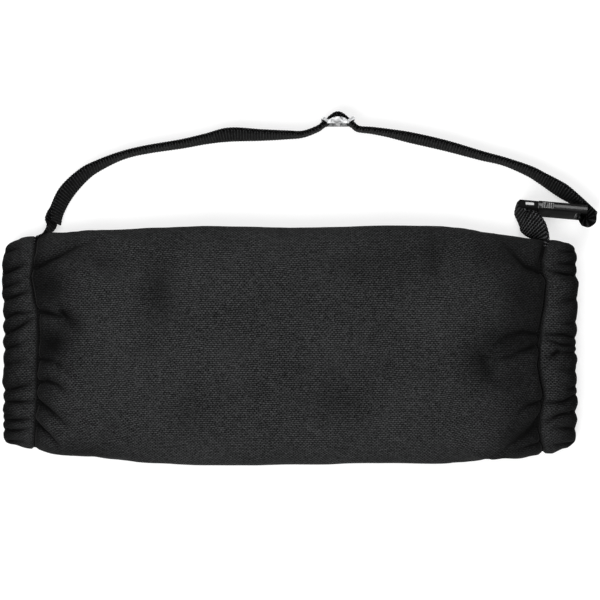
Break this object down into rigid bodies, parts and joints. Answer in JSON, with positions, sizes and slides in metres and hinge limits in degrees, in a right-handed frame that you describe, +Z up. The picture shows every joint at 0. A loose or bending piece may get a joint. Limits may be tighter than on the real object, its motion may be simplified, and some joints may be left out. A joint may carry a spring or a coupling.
{
  "type": "hand warmer muff",
  "caption": "Padded fabric hand-warmer muff with gathered elastic cuffs, a webbing waist belt with a metal slider, and a side-release buckle.",
  "frame": {"origin": "under the middle of the padded tube, on the surface that the muff lies on", "axes": "+X along the hand tunnel towards the buckle, +Y across the muff towards the belt, +Z up through its thickness"},
  "size_m": [0.415, 0.2475, 0.0575],
  "materials": {
    "shell_knit": "matt ribbed knit",
    "cuff_knit": "matt ribbed knit",
    "fibre_fill": "loose white fibre",
    "fleece": "brushed pile",
    "elastic": "woven elastic",
    "webbing": "ribbed woven webbing",
    "slider_metal": "bright nickel plate",
    "buckle_plastic": "satin moulded plastic"
  },
  "bodies": {
    "muff": {"outer_shell": "shell_knit", "insulation": "fibre_fill", "fleece_lining": "fleece", "left_cuff": "cuff_knit", "right_cuff": "cuff_knit", "left_cuff_elastic": "elastic", "right_cuff_elastic": "elastic", "belt_webbing": "webbing", "tab_webbing": "webbing", "buckle_latch": "buckle_plastic"},
    "slider": {"slider": "slider_metal"},
    "receiver": {"buckle_receiver": "buckle_plastic"},
    "upper_arm": {"latch_arm_upper": "buckle_plastic"},
    "lower_arm": {"latch_arm_lower": "buckle_plastic"}
  },
  "joints": [
    {"name": "buckle_pull", "type": "slide", "parent": "muff", "child": "receiver", "axis": [0.9962, -0.0872, 0], "range_m": [0, 0.022], "deforming": ["belt_webbing", "latch_arm_upper", "latch_arm_lower"]},
    {"name": "slider_slide", "type": "slide", "parent": "muff", "child": "slider", "axis": [1, 0, 0], "range_m": [-0.008, 0.008], "deforming": ["belt_webbing"]},
    {"name": "upper_squeeze", "type": "hinge", "parent": "muff", "child": "upper_arm", "pos_m": [0.16964, 0.09812, 0.02362], "axis": [0.0856, 0.9779, -0.1908], "range_deg": [0, 12], "stiffness_Nm_per_rad": 0.1},
    {"name": "lower_squeeze", "type": "hinge", "parent": "muff", "child": "lower_arm", "pos_m": [0.16932, 0.09455, 0.00517], "axis": [0.0856, 0.9779, -0.1908], "range_deg": [-12, 0], "stiffness_Nm_per_rad": 0.1}
  ],
  "couplings": [
    {"joint": "lower_squeeze", "follows": "upper_squeeze", "ratio": -1}
  ]
}
